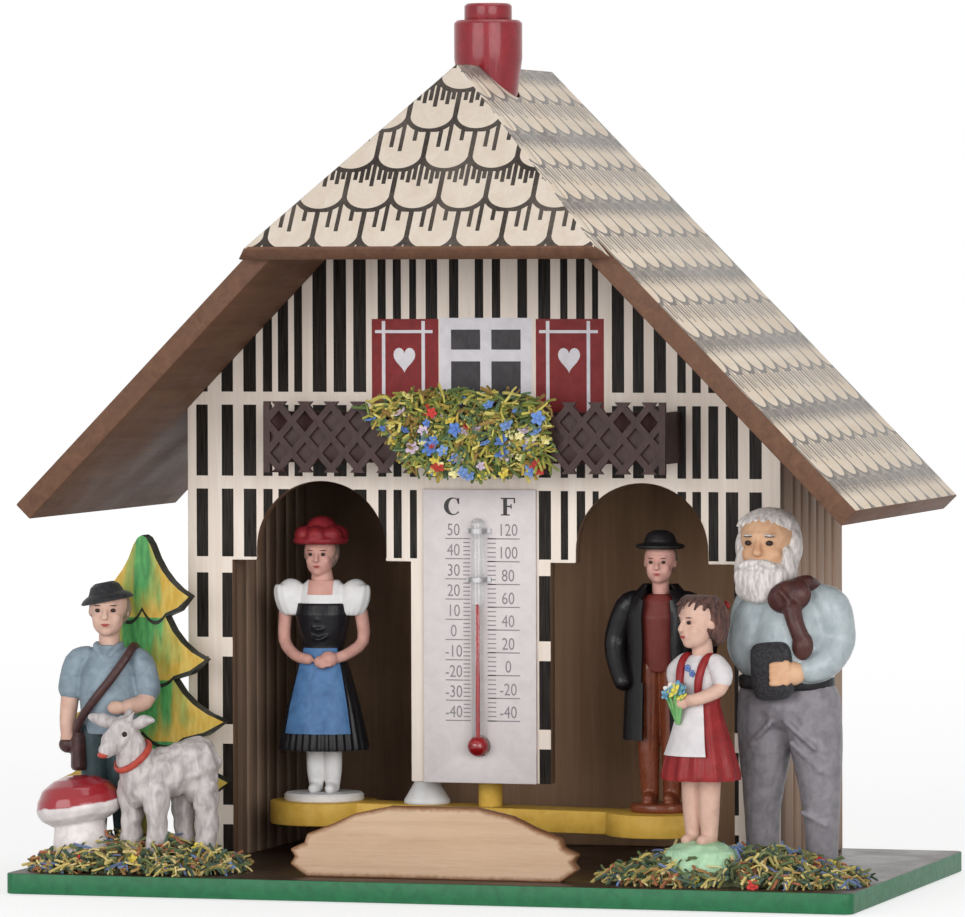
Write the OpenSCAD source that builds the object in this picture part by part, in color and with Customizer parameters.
// Weather house: a plywood chalet with a swinging weather couple.
// Millimetres, +Z up, front towards -Y, origin under the middle of the base board.

/* [Base] */
// Width of the base board
base_w = 170; // [160:1:200]
// Depth of the base board
base_d = 96; // [93:1:130]
// Thickness of the base board
base_t = 4; // [3:0.5:8]
// Corner radius of the base board
base_corner_r = 2; // [0.5:0.5:5]

/* [House] */
// Width over the side walls
house_w = 122; // [112:1:130]
// Distance of the front panel's face from the front edge of the base
house_set_back = 41; // [38:0.5:46]
// Depth from the front panel's face to the back of the walls
house_depth = 51; // [46:0.5:52]
// Height of the side walls at their outer faces
wall_h = 90; // [84:0.5:100]
// Thickness of the side walls
wall_t = 9; // [6:0.5:10]
// Thickness of the front panel
panel_t = 3; // [2:0.25:4]
// Thickness of the back panel
back_t = 3; // [2:0.25:6]
// Distance between the grooves of a side wall
groove_pitch = 6.4; // [5:0.1:10]
// Width of a wall groove
groove_w = 1.8; // [1:0.1:3]
// Depth of a wall groove
groove_depth = 1.1; // [0.4:0.1:2]
// Plain margin of a side wall before its first groove
groove_margin = 5; // [2:0.5:12]

/* [Doorways] */
// Width of the column between the doorways
column_w = 28.8; // [27:0.2:34]
// Height of the column's lower end above the base board
column_foot = 16.2; // [15:0.2:22]
// Height of the doorway shoulders above the base board
shoulder_h = 59.8; // [56:0.2:66]
// Radius of the doorway arches
arch_r = 13.4; // [12.5:0.1:15]
// Height of the arch centres above the shoulders
arch_lift = 2.4; // [1:0.1:6]
// Step from a doorway's outer edge to the inside of the side wall
jamb_step = 0.4; // [0.2:0.1:1.5]

/* [Roof] */
// Pitch of the two roof panels in degrees
roof_pitch = 45.5; // [42:0.5:48]
// Thickness of the roof panels
roof_t = 4; // [3:0.25:5]
// Overhang of the eaves beyond the side walls
eave_overhang = 23.5; // [18:0.5:24]
// Overhang of the roof in front of the front panel
front_overhang = 35; // [28:0.5:36]
// Overhang of the roof behind the walls
rear_overhang = 1; // [0:0.5:3]
// Drop from the ridge to the lower edge of the front hip
hip_drop = 36; // [28:0.5:42]
// Level run of the front hip from its lower edge to the ridge
hip_run = 26; // [20:0.5:30]
// Distance of the hip's lower edge in front of the roof panels
hip_nose = 6; // [3:0.5:6]

/* [Chimney] */
// Distance of the turning axis behind the front panel's face
axis_set_back = 6.5; // [6.4:0.1:9]
// Radius of the chimney knob
knob_r = 6.75; // [6:0.25:8]
// Radius of the knob's lower end
knob_foot_r = 5.5; // [5:0.25:5.75]
// Height of the knob's shoulder above the ridge
knob_rise = 9; // [7:0.5:14]
// Depth of the knob's lower end below the ridge
knob_sink = 8; // [6:0.5:9]
// Height of the knob's straight part
knob_straight = 7.5; // [5:0.5:8]
// Radius of the chimney cap
cap_r = 4.7; // [4:0.1:5.5]
// Height of the chimney cap
cap_h = 3.3; // [2:0.1:5]
// Radius of the knob's stem
stem_r = 2.2; // [2:0.1:2.4]
// Height of the ridge block that guides the stem
block_h = 13; // [10:0.5:20]
// Depth of the ridge block
block_depth = 20; // [12:0.5:30]
// Height of the collar on the stem
collar_h = 2; // [1.5:0.1:3]

/* [Turntable] */
// Gap between the base board and the turntable
table_lift = 6.7; // [6.5:0.1:8]
// Thickness of the turntable
table_t = 4.5; // [3.5:0.25:5]
// Width of the turntable's arm
arm_w = 9; // [7:0.5:12]
// Radius of the round ends that carry the weather couple
pad_r = 10.8; // [10:0.1:11.5]
// Room between the turntable's ends and the side walls
table_room = 4.2; // [3:0.1:7]
// Turn of the table at rest in degrees, with the man in front
rest_turn = 9; // [0:1:15]
// Radius of the dowel on the turning axis
post_r = 2.4; // [1.8:0.1:2.8]
// Height of the dowel above the table
post_h = 24; // [15:1:40]
// Radius of the gut string
gut_r = 0.45; // [0.3:0.05:0.6]
// Radius of the guide pin in the base
pin_r = 0.9; // [0.7:0.05:1.0]
// Depth of the guide pin in the base board
pin_seat = 2.5; // [1.5:0.25:2.75]
// Reach of the guide pin into the dowel
pin_reach = 6; // [4:0.5:10]
// Radius of the balance weight's foot
weight_r = 4.6; // [3:0.1:4.8]

/* [Thermometer] */
// Width of the thermometer card
card_w = 23.2; // [20:0.2:26]
// Height of the thermometer card
card_h = 58; // [50:0.5:62]
// Thickness of the thermometer card
card_t = 0.8; // [0.7:0.1:1.5]
// Height of the card's lower edge above the lower end of the column
card_lift = 0; // [0:0.1:3]
// Outer radius of the glass tube
tube_r = 1.25; // [1:0.05:1.5]
// Outer radius of the glass bulb
bulb_r = 2.05; // [1.7:0.05:2.1]
// Wall of the glass
glass_wall = 0.45; // [0.35:0.05:0.7]
// Height of the bulb's centre above the card's lower edge
bulb_rise = 7.4; // [5:0.1:10]
// Height of the tube's top above the bulb's centre
tube_h = 45; // [38:0.5:47]
// Height of the red liquid above the bulb's centre
liquid_h = 28; // [5:1:36]
// Height of a clip that holds the tube
clip_h = 0.9; // [0.6:0.1:2]
// Distance of the upper clip below the tube's top
clip_drop = 3; // [2:0.5:6]

/* [Balcony] */
// Width of the balcony rail
rail_w = 82; // [70:1:90]
// Height of the balcony rail's backing
rail_h = 10; // [8:0.5:13]
// Distance of the rail's back from the front panel
rail_reach = 10; // [8:0.5:14]
// Thickness of the rail's backing
rail_t = 1.2; // [1:0.1:2]
// Height of the rail's lower edge above the base board
rail_lift = 79.7; // [77:0.1:84]
// Distance between the lattice slats along the rail
lattice_pitch = 5.4; // [4:0.2:8]
// Width of a lattice slat
slat_w = 1.3; // [0.8:0.1:2]
// Relief of the lattice slats
slat_relief = 0.8; // [0.4:0.1:1.5]
// Slope of the lattice slats in degrees
slat_slope = 49; // [40:1:55]
// Height of the slat tips beyond the backing
slat_tip = 2; // [1:0.1:3]
// Width of the flower cushion on the rail
flowers_w = 36; // [28:1:50]

/* [Ground] */
// Width of the sign board
sign_w = 58; // [48:1:60]
// Height of the sign board
sign_h = 14.4; // [12:0.2:16]
// Thickness of the sign board
sign_t = 3; // [2:0.25:5]
// Distance of the sign board's face from the front edge of the base
sign_set_back = 8; // [6:0.5:9]
// Height of the pine tree
tree_h = 65; // [52:1:70]
// Half width of the pine tree's lowest branches
tree_half_w = 17.8; // [14:0.2:18]
// Thickness of the pine tree
tree_t = 4; // [3:0.25:5]
// Width of the left moss bed
moss_left_w = 46; // [36:1:50]
// Width of the right moss bed
moss_right_w = 52; // [40:1:54]
// Height of the moss beds
moss_h = 4.6; // [3:0.2:6]
// Diameter of the mushroom's cap
mushroom_cap_d = 17.2; // [13:0.2:18]
// Height of the mushroom
mushroom_h = 18.4; // [14:0.2:20]

/* [Figures] */
// Height of the weather woman
woman_h = 57.5; // [50:0.5:59]
// Height of the weather man
man_h = 56.2; // [50:0.2:59]
// Height of the herd boy
boy_h = 56; // [48:0.5:60]
// Height of the flower girl
girl_h = 55.8; // [48:0.2:60]
// Height of the older man
elder_h = 71.6; // [60:0.2:76]
// Height of the goat
goat_h = 32; // [26:0.5:35]

/* [Hidden] */
$fn = 48;

// Fits: running fit of turning pieces, glued fit of fixed ones, gap between moving faces
running_fit = 0.05;
glue_fit = 0.02;
moving_gap = 0.3;

// Places worked out from the sizes above
base_top = base_t;
front_edge = -base_d / 2;
front_y = front_edge + house_set_back;
panel_back = front_y + panel_t;
house_back = front_y + house_depth;
wall_in = house_w / 2 - wall_t;
slope = tan(roof_pitch);
under_ridge = base_top + wall_h + house_w / 2 * slope;
ridge_z = under_ridge + roof_t / cos(roof_pitch);
eave_x = house_w / 2 + eave_overhang;
roof_front = front_y - front_overhang;
roof_back = house_back + rear_overhang;
hip_low_y = roof_front - hip_nose;
hip_low_z = ridge_z - hip_drop;
hip_slope = atan(hip_drop / hip_run);

door_out = wall_in - jamb_step;
door_mid = (column_w / 2 + door_out) / 2;
shoulder_z = base_top + shoulder_h;
column_z = base_top + column_foot;

axis_y = front_y + axis_set_back;
knob_z = ridge_z - knob_sink;
knob_top = ridge_z + knob_rise;
taper_z = knob_top - knob_straight;
block_z = knob_z - moving_gap - block_h;
stem_z = block_z - moving_gap - collar_h;
collar_r = stem_r + 1;
knot_r = 1.2;
knot_room_r = knot_r + moving_gap;
knot_floor = knob_top - 6;
spigot_h = 2;

table_z = base_top + table_lift;
table_top = table_z + table_t;
table_end_r = wall_in - table_room;
figure_r = table_end_r - pad_r;
post_top = table_top + post_h;
weight_h = column_z - table_top - moving_gap;
gut_socket = 4;
gut_hole_r = gut_r + running_fit;

card_z = column_z + card_lift;
card_face = front_y - card_t;
tube_y = card_face - tube_r - glue_fit;
bulb_z = card_z + bulb_rise;
tube_top = bulb_z + tube_h;
tube_bore_r = tube_r - glass_wall;
liquid_fit = 0.05;

rail_z = base_top + rail_lift;
rail_back = front_y - rail_reach;
rail_front = rail_back - rail_t - slat_relief;

// Places on the ground in front of the house, as shares of its half width and of its depth
side_edge = base_w / 2;
function on_ground(across_share, depth_share) =
    [across_share * side_edge, front_edge + depth_share * house_set_back];
boy_at = on_ground(-0.841, 0.573);
goat_at = on_ground(-0.665, 0.341);
mushroom_at = on_ground(-0.865, 0.305);
girl_at = on_ground(0.612, 0.341);
elder_at = on_ground(0.776, 0.72);
tree_at = on_ground(-0.791, 0.805);

// Radius of the mushroom's stem where it stands on the ground
mushroom_foot_r = mushroom_cap_d * 0.34;

// Turns of the figures on the ground
boy_turn = 6;
goat_turn = 34;
girl_turn = -24;
elder_turn = -10;

// Reference heights at which the figures are drawn
woman_ref = 57.5;
man_ref = 57.3;
boy_ref = 56;
girl_ref = 55.8;
elder_ref = 71.6;
goat_ref = 32;
limb_fn = 10;
turned_fn = 20;

// Outline in X and Z, pushed through from y0 to y1
module across(y0, y1) {
    translate([0, y1, 0]) rotate([90, 0, 0]) linear_extrude(y1 - y0) children();
}

// Outline in Y and Z, pushed through from x0 to x1
module along(x0, x1) {
    translate([x0, 0, 0]) rotate([90, 0, 90]) linear_extrude(x1 - x0) children();
}

// Row of hulls over points given as [x, y, z, radius]
module limb(points) {
    for (i = [0 : len(points) - 2])
        hull()
            for (p = [points[i], points[i + 1]])
                translate([p[0], p[1], p[2]]) sphere(p[3], $fn = limb_fn);
}

// The same limb on both sides of a figure
module limbs(points) {
    for (side = [-1, 1])
        limb([for (p = points) [side * p[0], p[1], p[2], p[3]]]);
}

// Turned shape with its outline in radius and height, flattened front to back
module turned(outline, flat = 1) {
    scale([1, flat, 1]) rotate_extrude($fn = turned_fn) polygon(outline);
}

// Space under the roof panels
module under_roof() {
    foot = under_ridge - eave_x * slope;
    polygon([[-eave_x, 0], [eave_x, 0], [eave_x, foot], [0, under_ridge], [-eave_x, foot]]);
}

// Space under the outer faces of the roof
module roof_outline() {
    foot = ridge_z - 2 * eave_x * slope;
    polygon([[-2 * eave_x, foot], [2 * eave_x, foot], [0, ridge_z]]);
}

// Point of the hip's section: distance down the slope and depth below the outer face
function hip_point(down, depth) = [
    hip_low_y + hip_run - down * cos(hip_slope) + depth * sin(hip_slope),
    ridge_z - down * sin(hip_slope) - depth * cos(hip_slope)
];
hip_length = hip_drop / sin(hip_slope);
hip_over = 2 * roof_t;

// Countersunk seat of the chimney knob, with the hole for its stem
module knob_seat() {
    gap = moving_gap;
    widen = (knob_r - knob_foot_r) / (taper_z - knob_z);
    floor_z = knob_z - gap;
    rise = ridge_z + 1 - floor_z;
    foot_r = knob_foot_r + gap;
    translate([0, axis_y, floor_z]) cylinder(h = rise, r1 = foot_r, r2 = foot_r + rise * widen);
}

module base_board() {
    color([0.24, 0.45, 0.33]) difference() {
        translate([0, 0, base_t / 2]) union() {
            cube([base_w - 2 * base_corner_r, base_d, base_t], center = true);
            cube([base_w, base_d - 2 * base_corner_r, base_t], center = true);
            for (x = [-1, 1], y = [-1, 1])
                translate([x * (base_w / 2 - base_corner_r), y * (base_d / 2 - base_corner_r), 0])
                    cylinder(r = base_corner_r, h = base_t, center = true);
        }
        translate([0, axis_y, base_top - pin_seat]) cylinder(r = pin_r + glue_fit, h = pin_seat + 1);
    }
}

module guide_pin() {
    length = pin_seat + table_lift + pin_reach;
    color([0.7, 0.7, 0.7]) translate([0, axis_y, base_top - pin_seat]) cylinder(r = pin_r, h = length);
}

// Doorway on one side: a wide lower part with a round arch above its shoulders
module doorway(side) {
    low = base_top - 1;
    width = door_out - column_w / 2;
    spring = shoulder_z + arch_lift;
    translate([side * door_mid, 0]) {
        translate([-width / 2, low]) square([width, shoulder_z - low]);
        translate([-arch_r, low]) square([2 * arch_r, spring - low]);
        translate([0, spring]) circle(arch_r);
    }
}

module front_panel() {
    color([0.87, 0.81, 0.76]) difference() {
        across(front_y, panel_back) difference() {
            intersection() {
                translate([-house_w / 2, base_top]) square([house_w, ridge_z]);
                under_roof();
            }
            doorway(-1);
            doorway(1);
            translate([-column_w / 2 - 1, base_top - 1]) square([column_w + 2, column_foot + 1]);
        }
        knob_seat();
    }
}

// Side wall with upright grooves on both faces, cut to the roof's underside
module side_wall(side) {
    length = house_back - panel_back;
    count = floor((length - 2 * groove_margin - groove_w) / groove_pitch);
    first = panel_back + (length - count * groove_pitch - groove_w) / 2;
    intersection() {
        translate([0, 0, base_top]) linear_extrude(ridge_z) difference() {
            translate([side > 0 ? wall_in : -house_w / 2, panel_back]) square([wall_t, length]);
            for (i = [0 : count], face = [wall_in, house_w / 2])
                translate([side * face - groove_depth, first + i * groove_pitch])
                    square([2 * groove_depth, groove_w]);
        }
        across(panel_back - 1, house_back + 1) under_roof();
    }
}

module side_wall_left() {
    color([0.46, 0.38, 0.32]) side_wall(-1);
}

module side_wall_right() {
    color([0.46, 0.38, 0.32]) side_wall(1);
}

module back_panel() {
    color([0.33, 0.26, 0.19]) across(house_back - back_t, house_back) intersection() {
        translate([-wall_in, base_top]) square([2 * wall_in, ridge_z]);
        under_roof();
    }
}

// Roof panel with a square-cut eave, mitred at the ridge and cut under the hip
module roof_panel(side) {
    drop_x = roof_t * sin(roof_pitch);
    drop_z = roof_t * cos(roof_pitch);
    eave_z = ridge_z - eave_x * slope;
    difference() {
        across(roof_front, roof_back) polygon([
            [0, ridge_z],
            [side * eave_x, eave_z],
            [side * (eave_x - drop_x), eave_z - drop_z],
            [0, under_ridge]
        ]);
        along(-eave_x, eave_x) polygon([
            hip_point(-hip_over, roof_t),
            hip_point(-hip_over, -hip_drop),
            hip_point(2 * hip_length, -hip_drop),
            hip_point(2 * hip_length, roof_t)
        ]);
        knob_seat();
    }
}

module roof_left() {
    color([0.87, 0.8, 0.72]) roof_panel(-1);
}

module roof_right() {
    color([0.8, 0.75, 0.68]) roof_panel(1);
}

module front_hip() {
    color([0.89, 0.82, 0.74]) intersection() {
        along(-eave_x, eave_x) polygon([
            hip_point(-hip_over, 0),
            hip_point(hip_length, 0),
            hip_point(hip_length, roof_t),
            hip_point(-hip_over, roof_t)
        ]);
        across(hip_low_y - roof_t, house_back) roof_outline();
    }
}

module ridge_block() {
    color([0.6, 0.48, 0.36]) difference() {
        across(panel_back, panel_back + block_depth) intersection() {
            under_roof();
            translate([-wall_in, block_z]) square([2 * wall_in, block_h + knob_sink]);
        }
        knob_seat();
        translate([0, axis_y, block_z - 1]) cylinder(r = stem_r + running_fit, h = block_h + 2);
    }
}

// One slat of the lattice, leaning to one side, longer than the rail is high
module slat(lean) {
    length = 3 * (rail_h + 2 * slat_tip);
    rotate(lean * slat_slope) square([length, slat_w], center = true);
}

module balcony_rail() {
    half = rail_w / 2;
    count = ceil(half / lattice_pitch) + 1;
    mid_z = rail_z + rail_h / 2;
    full_h = rail_h + 2 * slat_tip;
    floor_t = rail_t;
    color([0.24, 0.17, 0.16]) union() {
        across(rail_back - rail_t, rail_back)
            translate([-half, rail_z]) square([rail_w, rail_h]);
        across(rail_back - rail_t - slat_relief, rail_back - rail_t + slat_relief / 4)
            intersection() {
                translate([-half, rail_z - slat_tip]) square([rail_w, full_h]);
                union() {
                    for (i = [-count : count], lean = [-1, 1])
                        translate([i * lattice_pitch, mid_z]) slat(lean);
                    for (end = [-half, half - slat_w])
                        translate([end, rail_z - slat_tip]) square([slat_w, full_h]);
                }
            }
        for (side = [-1, 1])
            translate([side * (half - rail_t / 2), (rail_back - rail_t + front_y) / 2, mid_z])
                cube([rail_t, rail_reach + rail_t, rail_h], center = true);
        translate([-half, rail_back - rail_t, rail_z]) cube([rail_w, rail_reach + rail_t, floor_t]);
    }
}

// Cushion of dried moss and flowers over the middle of the rail
module balcony_flowers() {
    rows = 4;
    step = flowers_w / 6;
    ball_r = step * 0.72;
    color([0.5, 0.52, 0.25]) difference() {
        for (row = [0 : rows - 1], i = [-3 : 3])
            translate([
                (i + (row % 2) / 2 - 0.25) * (flowers_w - 2 * ball_r) / 6.5,
                rail_front + (row == rows - 1 ? 3.4 : 0.4 - 0.5 * (row % 2)),
                rail_z - slat_tip / 2 + ball_r * 0.8 + row * (rail_h + slat_tip - ball_r * 0.4) / (rows - 1)
            ]) hull() sphere(ball_r * (1 - 0.08 * ((i * i + row) % 3)), $fn = limb_fn);
        translate([-rail_w, rail_front - glue_fit, rail_z - rail_h])
            cube([2 * rail_w, rail_t + slat_relief + rail_reach, 2 * rail_h + slat_tip + glue_fit]);
        translate([-rail_w, front_y - glue_fit, rail_z - rail_h]) cube([2 * rail_w, panel_t, 4 * rail_h]);
    }
}

module thermometer_card() {
    color([0.87, 0.85, 0.85]) difference() {
        translate([-card_w / 2, card_face, card_z]) cube([card_w, card_t, card_h]);
        translate([0, front_y + 1, bulb_z]) rotate([90, 0, 0])
            cylinder(r = bulb_r + running_fit, h = card_t + 2);
    }
}

// Tube and bulb as one revolved wall around a bore
module thermometer_tube() {
    bulb_in = bulb_r - glass_wall;
    color([0.85, 0.9, 0.92, 0.5]) translate([0, tube_y, bulb_z]) difference() {
        union() {
            sphere(bulb_r);
            cylinder(r = tube_r, h = tube_h - tube_r);
            translate([0, 0, tube_h - tube_r]) sphere(tube_r);
        }
        sphere(bulb_in);
        cylinder(r = tube_bore_r, h = tube_h - 2 * glass_wall);
    }
}

module thermometer_liquid() {
    color([0.7, 0.12, 0.18]) translate([0, tube_y, bulb_z]) union() {
        sphere(bulb_r - glass_wall - liquid_fit);
        cylinder(r = tube_bore_r - liquid_fit, h = liquid_h);
    }
}

// Two sheet clips that hold the tube to the card
module tube_clips() {
    strip = 0.4;
    inner = tube_r + running_fit;
    lug = 2.5;
    span = card_face - tube_y;
    clip_tops = [tube_top - clip_drop, bulb_z + tube_h * 0.72];
    color([0.75, 0.75, 0.76])
        for (z = clip_tops)
            translate([0, tube_y, z]) linear_extrude(clip_h) difference() {
                union() {
                    circle(inner + strip);
                    translate([-inner - strip, 0]) square([2 * (inner + strip), span]);
                    translate([-lug, span - strip]) square([2 * lug, strip]);
                }
                circle(inner);
                translate([-inner, 0]) square([2 * inner, span + 1]);
            }
}

// Half outline of the sign board, from the foot up the ragged end to the crown
sign_foot = 0.88;
sign_half = [
    [sign_foot, 0], [0.94, 0.08], [1, 0.17], [0.965, 0.27], [1, 0.37], [0.9, 0.46],
    [0.88, 0.58], [0.7, 0.72], [0.55, 0.86], [0.3, 0.97]
];

module sign_board() {
    half = sign_w / 2;
    right = [for (p = sign_half) [p[0] * half, base_top + p[1] * sign_h]];
    count = len(right);
    left = [for (i = [0 : count - 1]) [-right[count - 1 - i][0], right[count - 1 - i][1]]];
    y = front_edge + sign_set_back;
    color([0.8, 0.68, 0.57]) across(y, y + sign_t) polygon(concat(right, left));
}

// Curve from a to c that is pulled towards b, in equal steps
function flare(a, b, c, steps) = [
    for (i = [0 : steps]) let (t = i / steps) pow(1 - t, 2) * a + 2 * t * (1 - t) * b + t * t * c
];

// Flat pine with hanging branch tips, four tiers high, each flared out from the notch above it
module pine_tree() {
    tips = [[0.55, 0.812], [0.735, 0.62], [0.955, 0.432], [1, 0.247]];
    trunk = 0.14;
    last = len(tips) - 1;
    notch = [
        for (i = [0 : last]) i < last ? [tips[i][0] * 0.5, tips[i][1] - 0.062] : [trunk, tips[i][1] - 0.04]
    ];
    start = [for (i = [0 : last]) i == 0 ? [0.1, 0.97] : notch[i - 1]];
    right = concat([[0, 1], [0.05, 0.992]], [
        for (i = [0 : last])
            for (p = concat(
                flare(start[i], [start[i][0] + 0.3 * (tips[i][0] - start[i][0]),
                                 start[i][1] + 0.7 * (tips[i][1] - start[i][1])], tips[i], 4),
                [[tips[i][0] * 0.76, tips[i][1] - 0.045]],
                i == last ? [notch[i]] : []
            )) p
    ], [[trunk, 0]]);
    place = [for (p = right) [p[0] * tree_half_w, base_top + p[1] * tree_h]];
    count = len(place);
    left = [for (i = [0 : count - 2]) [-place[count - 1 - i][0], place[count - 1 - i][1]]];
    color([0.33, 0.58, 0.34])
        translate([tree_at[0], 0, 0])
            across(tree_at[1] - tree_t / 2, tree_at[1] + tree_t / 2) polygon(concat(place, left));
}

// Toadstool with a cap that leans a little to the left
module mushroom() {
    cap = mushroom_cap_d / 2;
    stem = mushroom_foot_r;
    neck = mushroom_h * 0.5;
    dome = mushroom_h - neck;
    lean = -9;
    color([0.6, 0.16, 0.19]) translate([mushroom_at[0], mushroom_at[1], base_top]) union() {
        rotate_extrude() polygon([
            [0, 0], [stem, 0], [stem * 0.96, neck * 0.5], [stem * 0.87, neck * 0.95],
            [stem * 0.85, neck + 1], [0, neck + 1]
        ]);
        translate([0, 0, neck]) rotate([0, lean, 0]) rotate_extrude() polygon([
            [0, 0], [cap * 0.66, 0], [cap * 0.9, dome * 0.14], [cap, dome * 0.36], [cap * 0.95, dome * 0.56],
            [cap * 0.78, dome * 0.78], [cap * 0.48, dome * 0.94], [cap * 0.2, dome * 0.99], [0, dome]
        ]);
    }
}

// Legs of the goat: place along the body and side
goat_legs = [[-6.6, -2.8], [-3.6, 2.8], [7.4, -2.8], [6, 2.8]];

// Standing goat that looks along -X, with its head turned to the visitor
module goat() {
    color([0.88, 0.85, 0.86])
        translate([goat_at[0], goat_at[1], base_top]) rotate(goat_turn) scale(goat_h / goat_ref) {
            limb([[-4.6, 0, 19.4, 5], [1, 0, 19.6, 5], [6, 0, 20.4, 5.2]]);
            limb([[-5.6, 0, 21.6, 4.3], [-8, -0.7, 25.6, 3.2], [-8.6, -1, 27.4, 3.2]]);
            limb([[-8.6, -1, 27.4, 3.2], [-12.4, -2.5, 24.4, 2]]);
            limb([[-7.4, -3.4, 28.8, 1.3], [-4.6, -7.2, 30, 0.8]]);
            limb([[-9.6, 1.4, 28.8, 1.3], [-13.2, 6.8, 29.8, 0.8]]);
            for (side = [-1, 1])
                limb([[-8, side * 1.3 - 1, 29.6, 1], [-7, side * 1.8 - 1, 31.4, 0.6]]);
            for (leg = goat_legs) {
                limb([[leg[0], leg[1], 16, 2.7], [leg[0] + 0.5, leg[1], 8, 1.7], [leg[0], leg[1], 2.2, 1.5]]);
                translate([leg[0], leg[1], 0]) cylinder(r = 1.6, h = 2.4, $fn = limb_fn);
            }
            limb([[10, 0, 23, 1.4], [11, 0, 19, 0.9]]);
        }
}

// Boy in a brimmed hat, one arm hanging and one bent forward
module herd_boy() {
    color([0.5, 0.58, 0.64])
        translate([boy_at[0], boy_at[1], base_top]) rotate(boy_turn) scale(boy_h / boy_ref) {
            limbs([[3, -2.4, 1.5, 1.5], [3, 0.6, 1.8, 1.8]]);
            translate([0, -0.9, 0.8]) cube([9, 6, 1.6], center = true);
            limbs([[3, 0.4, 2.4, 2], [2.9, 0, 14, 2.7], [2.6, 0, 26.4, 3.4]]);
            limb([[0, 0, 27, 4.8], [0, -0.4, 33.4, 5.6], [0, 0, 40, 4.8]]);
            limb([[-6, 0, 41, 2.6], [6, 0, 41, 2.6]]);
            limb([[-6.6, 0, 40.4, 2.8], [-7.8, 0, 34, 2.6], [-8, -1, 28.4, 1.8], [-7.8, -2.4, 23.8, 1.7]]);
            limb([[6.6, 0, 40.4, 2.8], [7.8, 0.4, 34, 2.6], [5.6, -4.4, 31, 1.8], [2.6, -6.2, 31.4, 1.7]]);
            limb([[0, 0, 42.4, 2.2], [0, -0.3, 47.6, 2.9], [0, 0, 50.2, 4.2]]);
            translate([0, 0, 51.4]) rotate([0, -5, 0]) turned([
                [0, 0], [5.2, -0.2], [5.7, 0.3], [4.5, 1], [4.2, 2.6], [3.4, 4], [1.6, 4.6], [0, 4.6]
            ]);
        }
}

// Girl in a short skirt with a bunch of flowers, on a small mound
module flower_girl() {
    color([0.72, 0.2, 0.22])
        translate([girl_at[0], girl_at[1], base_top]) rotate(girl_turn) scale(girl_h / girl_ref) {
            turned([[0, 0], [8, 0], [8.2, 4.2], [7.4, 6.4], [5, 7.8], [0, 8.2]], 0.85);
            limbs([[1.9, -2.2, 8.4, 1.2], [1.9, 0.2, 8.8, 1.6]]);
            limbs([[1.9, 0.2, 8.8, 1.6], [2, 0, 13.8, 1.9], [2.1, 0, 21.8, 2.3]]);
            turned([
                [0, 19.8], [7.8, 19.8], [8, 20.8], [6.4, 26.8], [4.8, 31.8], [3.8, 34.8], [0, 34.8]
            ], 0.85);
            limb([[0, 0, 34.4, 3.5], [0, -0.2, 38.8, 3.9], [0, 0, 42.2, 3.4]]);
            limbs([[4.2, 0, 42.2, 2.1], [5.4, -0.4, 39.4, 2]]);
            limbs([[5.6, -0.4, 38.8, 1.5], [5.4, -1.8, 35.6, 1.4], [2.2, -5, 36.6, 1.4]]);
            limb([[-1.2, -5.4, 31.6, 1], [-1.6, -5.8, 36.2, 2.4]]);
            limb([[0, 0, 43.4, 1.7], [0, -0.4, 47.4, 3.2], [0, 0, 49.8, 4]]);
            limb([[0, 0.7, 50.6, 4.5], [0, 1, 48.4, 4.3]]);
            limb([[-3, 2.6, 47.6, 1.8], [3, 2.6, 47.6, 1.8]]);
            translate([0, 0.5, 53.8]) cylinder(r1 = 2.8, r2 = 1.2, h = 2, $fn = limb_fn);
        }
}

// Older man with a full beard and a leather bag, who holds a hat at his belt
module older_man() {
    head_x = -4.8;
    color([0.55, 0.58, 0.6])
        translate([elder_at[0], elder_at[1], base_top]) rotate(elder_turn) scale(elder_h / elder_ref) {
            limbs([[6.2, -3.6, 2, 2], [6.2, 0.8, 2.2, 2.2]]);
            for (side = [-1, 1]) translate([side * 6.2, -1.4, 0.6]) cube([3.6, 7.6, 1.2], center = true);
            limbs([[6.2, 0.4, 2.8, 3.2], [6.2, 0, 14, 3.7], [5.2, 0, 26, 5.2], [3.8, 0, 34.4, 6.2]]);
            limb([[-0.4, 0, 36, 7.4], [-0.8, -0.6, 44.6, 8], [-1.2, 0, 52.2, 6.3]]);
            limb([[-8.4, 0.2, 52.2, 3.8], [6.8, 0.2, 53.2, 3.9]]);
            limb([[7.6, 0.2, 52.4, 4], [9.2, 0.6, 45.6, 3.7], [6, -5.6, 40.4, 2.8], [2.4, -8.4, 40, 2.6]]);
            limb([[-9, 0.2, 51.6, 3.9], [-10.6, 0.8, 44, 3.5], [-8.4, 4.8, 38.6, 2.6]]);
            limb([[-2.6, 0, 55, 3.8], [head_x, -0.6, 60.2, 5], [head_x, 0, 64.4, 6.2]]);
            limb([[head_x - 0.6, -3.8, 59.6, 3.9], [head_x - 1.6, -5, 55.8, 2.8]]);
            limb([[-1.4, -6.2, 53.8, 1.5], [2.8, -5.4, 54.8, 3], [4.4, -3.6, 56, 2.6]]);
            limb([[3.6, -6, 52, 1.8], [5.2, -7, 48, 1.5], [5.6, -7, 45.6, 2.6]]);
            limb([[head_x, 1.4, 65, 6.3], [head_x, 1.8, 61.4, 5.7]]);
            translate([-0.2, -8.3, 40.2]) rotate([84, 0, 0]) turned([
                [0, 0], [5, 0], [5.2, 0.5], [3.7, 1.2], [3.3, 2.3], [0, 2.6]
            ], 1.06);
            translate([head_x, 0.6, 70.4]) cylinder(r1 = 3.4, r2 = 1.4, h = 1.2, $fn = limb_fn);
        }
}

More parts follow.
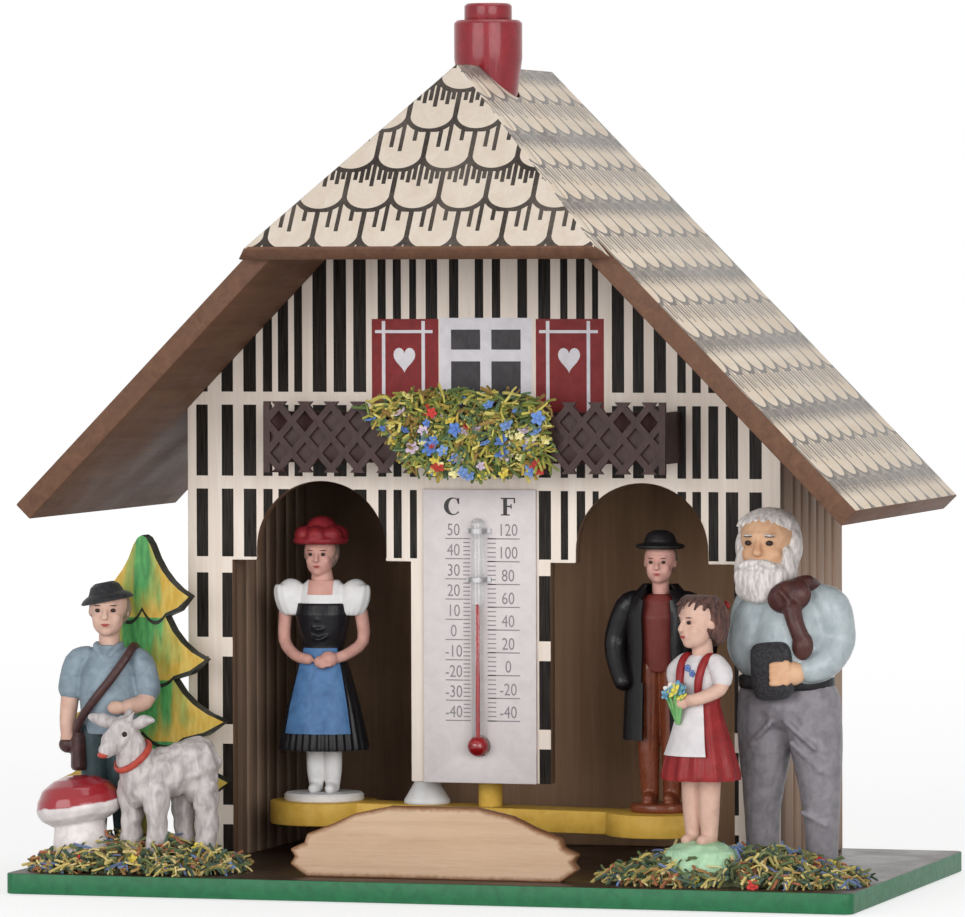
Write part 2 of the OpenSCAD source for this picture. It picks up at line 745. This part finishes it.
// Ground that the feet take out of the moss
module feet() {
    low = base_top - 1;
    high = moss_h + 3;
    free = 0.1;
    translate([mushroom_at[0], mushroom_at[1], low]) cylinder(r = mushroom_foot_r + free, h = high);
    translate([girl_at[0], girl_at[1], low]) rotate(girl_turn)
        scale(girl_h / girl_ref) cube([2 * 8.3, 2 * 7.1, 2 * high], center = true);
    translate([boy_at[0], boy_at[1], low]) rotate(boy_turn)
        scale(boy_h / boy_ref) translate([0, -0.9, 0]) cube([10.4, 8.4, 2 * high], center = true);
    translate([goat_at[0], goat_at[1], low]) rotate(goat_turn)
        scale(goat_h / goat_ref)
            for (leg = goat_legs)
                translate([leg[0] + 0.2, leg[1], 0]) cube([4.4, 4.4, 2 * high], center = true);
    translate([elder_at[0], elder_at[1], low]) rotate(elder_turn)
        scale(elder_h / elder_ref) translate([0, -1, 0]) cube([19.6, 10.4, 2 * high], center = true);
}

// Bed of low moss domes, spread evenly over an oval patch
module moss_bed(middle, reach, count) {
    golden = 137.5;
    difference() {
        for (i = [0 : count - 1]) {
            out = sqrt((i + 0.5) / count);
            dome = reach[1] * (0.5 - 0.16 * out);
            translate([
                middle[0] + (reach[0] - dome) * out * cos(golden * i),
                middle[1] + (reach[1] - dome) * out * sin(golden * i),
                base_top
            ])
                scale([1, 1, moss_h / dome * (1 - 0.35 * out)]) hull() sphere(dome, $fn = limb_fn);
        }
        translate([0, 0, base_top - base_w]) cube(2 * base_w, center = true);
        feet();
    }
}

moss_mid_y = front_edge + 0.366 * house_set_back;
moss_half_d = 0.317 * house_set_back;
moss_margin = 0.018 * side_edge;

module moss_left() {
    color([0.45, 0.42, 0.2])
        moss_bed([-side_edge + moss_margin + moss_left_w / 2, moss_mid_y],
                 [moss_left_w / 2, moss_half_d], 22);
}

module moss_right() {
    color([0.42, 0.42, 0.22])
        moss_bed([side_edge - moss_margin - moss_right_w / 2, moss_mid_y + 0.05 * house_set_back],
                 [moss_right_w / 2, 1.08 * moss_half_d], 22);
}

// Turned chimney: a round knob on a stem, drilled for the gut string and its knot
module chimney_knob() {
    edge = 0.6;
    color([0.57, 0.14, 0.18]) translate([0, axis_y, 0]) rotate_extrude() polygon([
        [gut_hole_r, stem_z], [stem_r, stem_z], [stem_r, knob_z], [knob_foot_r, knob_z],
        [knob_r, taper_z], [knob_r, knob_top - edge], [knob_r - edge, knob_top],
        [knot_room_r, knob_top], [knot_room_r, knot_floor], [gut_hole_r, knot_floor]
    ]);
}

module chimney_cap() {
    edge = 0.5;
    spigot_r = knot_room_r - glue_fit;
    color([0.57, 0.14, 0.18]) translate([0, axis_y, knob_top]) rotate_extrude() polygon([
        [0, -spigot_h], [spigot_r, -spigot_h], [spigot_r, 0], [cap_r, 0],
        [cap_r, cap_h - edge], [cap_r - edge, cap_h], [0, cap_h]
    ]);
}

// Ring that keeps the stem from lifting out of the ridge block
module stem_collar() {
    color([0.8, 0.65, 0.3]) translate([0, axis_y, stem_z]) difference() {
        cylinder(r = collar_r, h = collar_h);
        translate([0, 0, -1]) cylinder(r = stem_r + glue_fit, h = collar_h + 2);
    }
}

// Place of everything on the turning axis, at its rest angle
module on_axis() {
    translate([0, axis_y, 0]) rotate(-rest_turn) children();
}

module turntable() {
    color([0.83, 0.67, 0.31]) on_axis() translate([0, 0, table_z]) difference() {
        union() {
            translate([0, 0, table_t / 2]) cube([2 * figure_r, arm_w, table_t], center = true);
            for (side = [-1, 1]) translate([side * figure_r, 0, 0]) cylinder(r = pad_r, h = table_t);
        }
        translate([0, 0, -1]) cylinder(r = post_r + glue_fit, h = table_t + 2);
    }
}

module pivot_post() {
    color([0.85, 0.7, 0.35]) translate([0, axis_y, 0]) difference() {
        translate([0, 0, table_z]) cylinder(r = post_r, h = table_t + post_h);
        translate([0, 0, table_z - 1]) cylinder(r = pin_r + running_fit, h = pin_reach + moving_gap + 1);
        translate([0, 0, post_top - gut_socket]) cylinder(r = gut_r + glue_fit, h = gut_socket + 1);
    }
}

// Gut from the dowel to a knot inside the chimney
module gut_string() {
    low = post_top - gut_socket;
    knot_z = knot_floor + moving_gap + knot_r;
    color([0.85, 0.8, 0.65]) translate([0, axis_y, 0]) union() {
        translate([0, 0, low]) cylinder(r = gut_r, h = knot_z - low);
        translate([0, 0, knot_z]) sphere(knot_r);
    }
}

module balance_weight() {
    place = -14;
    color([0.92, 0.91, 0.9]) on_axis() translate([place, 0, table_top]) rotate_extrude() polygon([
        [0, 0], [weight_r, 0], [weight_r, weight_h * 0.16], [weight_r * 0.84, weight_h * 0.42],
        [weight_r * 0.62, weight_h * 0.8], [weight_r * 0.5, weight_h], [0, weight_h]
    ]);
}

// Woman with a round red hat, puffed sleeves, bodice, wide skirt and folded hands
module weather_woman() {
    color([0.2, 0.26, 0.34])
        on_axis() translate([-figure_r, 0, table_top]) rotate(rest_turn + 4) scale(woman_h / woman_ref) {
            cylinder(r = 8, h = 1.6, $fn = turned_fn);
            limbs([[1.7, -2.4, 2.5, 1.1], [1.7, 0.4, 2.8, 1.5]]);
            limbs([[1.7, 0.4, 2.8, 1.5], [1.7, 0.3, 6, 1.9], [1.7, 0.2, 11, 2]]);
            turned([[0, 10.2], [9, 10.2], [9, 11], [7.4, 19], [5.4, 26], [4, 30.6], [0, 30.6]], 0.84);
            limb([[0, 0, 30, 3.7], [0, -0.4, 36.6, 4.4], [0, 0, 40, 3.8]]);
            limb([[-4.4, 0, 41.4, 2.4], [4.4, 0, 41.4, 2.4]]);
            limbs([[6, 0, 41.2, 3], [7.2, 0, 38.6, 3]]);
            limbs([[7.8, 0, 37, 1.6], [8.1, 0.2, 31.4, 1.4], [4.4, -3.6, 28.8, 1.3], [0.8, -4.8, 28.8, 1.6]]);
            limb([[0, 0, 42.6, 2.2], [0, -0.5, 46.9, 2.8], [0, -0.1, 50, 3.8]]);
            turned([[0, 50.6], [5.4, 50.4], [6, 51.6], [5.8, 53.2], [4.4, 55.6], [2.2, 57.2], [0, 57.5]]);
        }
}

// Man with a brimmed hat and a long open coat, hands in its pockets
module weather_man() {
    color([0.2, 0.17, 0.18])
        on_axis() translate([figure_r, 0, table_top]) rotate(rest_turn + 4) scale(man_h / man_ref) {
            turned([[0, 0], [6.2, 0], [6.2, 1.4], [5.8, 1.8], [0, 1.8]], 0.85);
            limbs([[2.1, -2.8, 2.7, 1.3], [2.2, 0.6, 2.9, 1.6]]);
            limbs([[2.2, 0.4, 3, 1.9], [2.4, 0, 12, 2.2], [2.3, 0, 25, 2.6]]);
            turned([
                [0, 14.5], [7, 14.5], [6.8, 25], [6, 33], [6.6, 40], [5.6, 44.4], [2.4, 46.2], [0, 46.2]
            ], 0.68);
            limbs([[6, 0, 42.4, 2.4], [9, 0.8, 34, 2.1], [7, -2.8, 26.6, 1.9]]);
            limb([[0, 0, 45, 2.1], [0, -0.5, 48.8, 2.6], [0, -0.1, 51.4, 3.5]]);
            turned([[0, 52.4], [5, 52.2], [5.3, 52.8], [3.7, 53.6], [3.5, 56.2], [2.6, 57.3], [0, 57.3]]);
        }
}

base_board();
guide_pin();
front_panel();
side_wall_left();
side_wall_right();
back_panel();
roof_left();
roof_right();
front_hip();
ridge_block();
balcony_rail();
balcony_flowers();
thermometer_card();
thermometer_tube();
thermometer_liquid();
tube_clips();
sign_board();
pine_tree();
mushroom();
goat();
herd_boy();
flower_girl();
older_man();
moss_left();
moss_right();
chimney_knob();
chimney_cap();
stem_collar();
turntable();
pivot_post();
gut_string();
balance_weight();
weather_woman();
weather_man();
